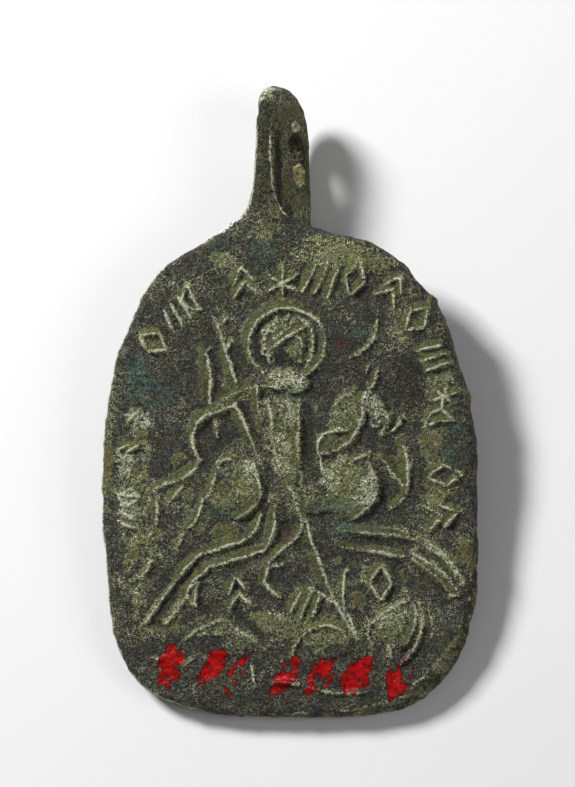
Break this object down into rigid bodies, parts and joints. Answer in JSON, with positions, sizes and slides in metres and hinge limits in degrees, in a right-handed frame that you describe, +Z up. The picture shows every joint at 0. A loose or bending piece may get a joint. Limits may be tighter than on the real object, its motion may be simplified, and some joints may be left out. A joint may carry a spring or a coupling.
{
  "type": "amulet pendant",
  "caption": "Flat cast bronze amulet pendant with a raised rider on its face and a drilled lug for a cord.",
  "frame": {"origin": "on the surface it lies on, under the middle of the pendant's box", "axes": "+Z up out of the face, +Y from the plate's foot to the lug, +X to the right seen from above"},
  "size_m": [0.0306, 0.0498, 0.0081],
  "materials": {
    "bronze": "old cast bronze, dark grey-green patina with pale olive deposits on the relief"
  },
  "bodies": {
    "root": {"amulet": "bronze"}
  },
  "joints": []
}
